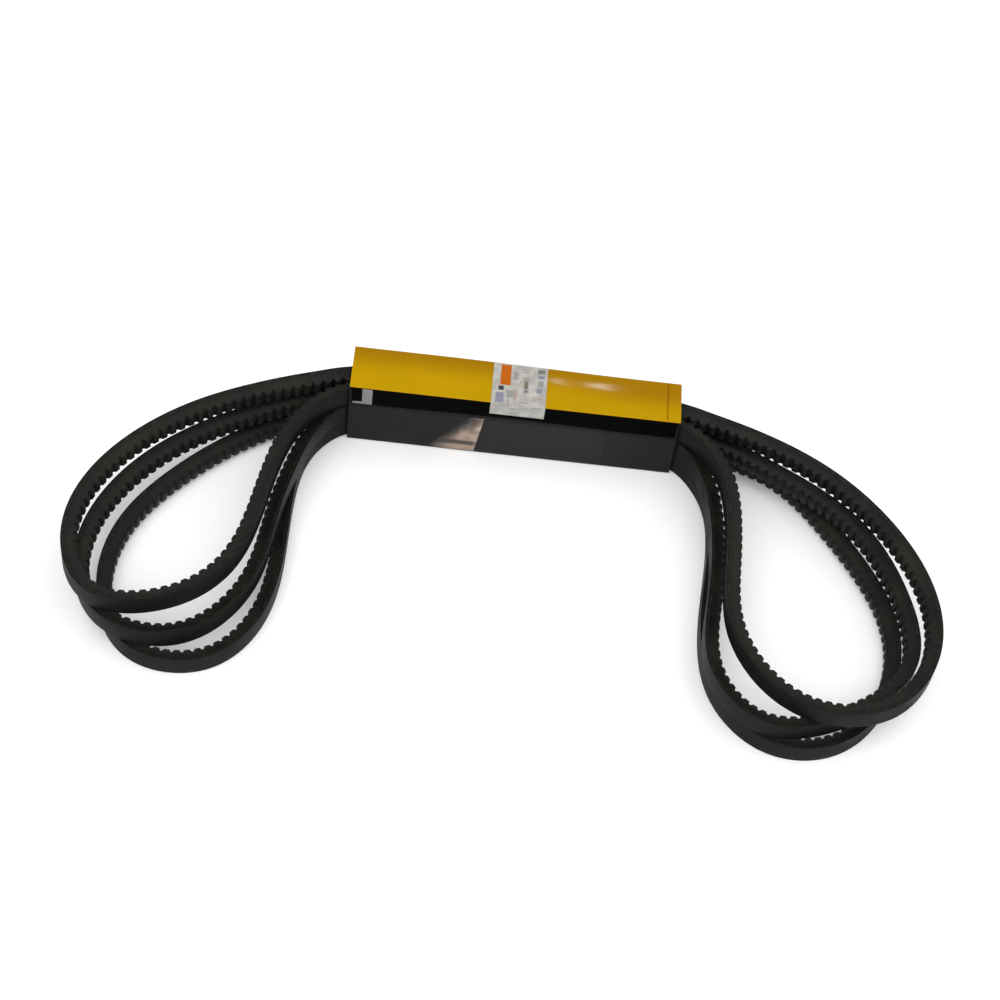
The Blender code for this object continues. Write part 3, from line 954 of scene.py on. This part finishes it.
# ---- make everything ----------------------------------------------------------------------
def make_looks():
    ink, grey = (0.15, 0.15, 0.16), (0.27, 0.26, 0.25)
    blue, brown, rose = (0.21, 0.21, 0.27), (0.15, 0.14, 0.10), (0.36, 0.27, 0.25)
    marks = [
        (-13.6, -9.6, 21.0, 25.0, (0.03, 0.03, 0.05)), (-15.2, -9.2, 27.0, 36.0, blue),
        (-7.6, -1.4, 24.5, 31.0, grey), (-6.4, -5.2, 31.8, 37.0, grey),
        (-3.4, 0.4, 6.5, 14.0, grey), (-2.0, 0.2, 24.0, 33.0, rose),
        (3.4, 9.0, 3.0, 4.4, rose), (3.6, 8.6, 5.6, 6.8, grey),
        (4.4, 8.4, 11.0, 14.0, grey), (4.9, 7.9, 14.6, 22.0, brown), (5.0, 7.8, 22.8, 25.4, ink),
        (14.2, 19.6, 2.0, 6.0, ink), (14.6, 19.4, 7.4, 11.0, blue), (14.9, 19.0, 12.6, 18.5, grey),
        (14.2, 18.2, 20.0, 24.5, blue), (11.0, 18.8, 28.6, 30.2, rose), (11.0, 16.8, 31.0, 32.2, grey),
        (2.0, 9.6, 34.0, 35.0, grey), (12.0, 19.0, 37.5, 38.6, grey), (-3.6, 6.2, 40.6, 41.6, grey),
    ]
    return {
        # the yellow's rear colour is a painted shade towards the lid's rear fold, and its crease line
        # is painted shade in the groove
        "yellow": printed_board("carton_yellow_board", (0.43, 0.247, 0.0008),
                                (0.48, 0.278, 0.0010), (0.0, 0.08),
                                rear=(0.32, 0.158, 0.0008), line=CREASE_X),
        "black": printed_board("carton_black_board", (0.0009, 0.0009, 0.0012),
                               (0.0020, 0.0020, 0.0024), (0.01, 0.0)),
        "back": printed_board("carton_back_board", (0.0068, 0.0068, 0.0071),
                              (0.0135, 0.0135, 0.0140), (0.14, 0.05)),
        "grey": grey_front(),
        "inner": raw_board("carton_inner_board", (0.36, 0.33, 0.28), (0.16, 0.13, 0.10)),
        "edge": raw_board("carton_board_edge", (0.14, 0.125, 0.105), (0.06, 0.05, 0.04)),
        "bare": raw_board("bare_board", (0.27, 0.26, 0.25), (0.15, 0.14, 0.13)),
        "paper": label_paper(marks),
        "ink": label_ink(),
        "patch": patch_ink(-34 * MM, -60 * MM, 2 * MM, 38 * MM),
    }


def build_belts():
    mats = {
        "top_cover": cover_fabric(),
        "cord_ply": cord_ply(),
        # the rubbers' own dark colours, set lighter as painted light on the flanks, which face up to
        # the light
        "cushion_gum": cut_rubber("belt_cushion_rubber", (0.0055, 0.0055, 0.0046),
                                  (0.0150, 0.0146, 0.0116), (700.0, 700.0, 2200.0)),
        "cogged_body": cut_rubber("belt_cogged_rubber", (0.0070, 0.0070, 0.0058),
                                  (0.0205, 0.0200, 0.0158), (1500.0, 1500.0, 500.0)),
    }
    for name, loops in LOOPS.items():
        low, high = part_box(f"{name}_top_cover")
        level = low.z + 0.5 * BELT_TOP_WIDTH + BOARD + GAP
        build_belt(name, loops, level, mats)


build_camera()
build_belts()
looks = make_looks()
build_sleeve(looks)
build_rear_crease(looks)
build_lid_and_flap(looks)
build_label(looks)
build_front_prints(looks)
build_floor()
build_lights()

both = {"cad": cad_box, "visual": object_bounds()}
{key: [list(corner) for corner in box] for key, box in both.items()}
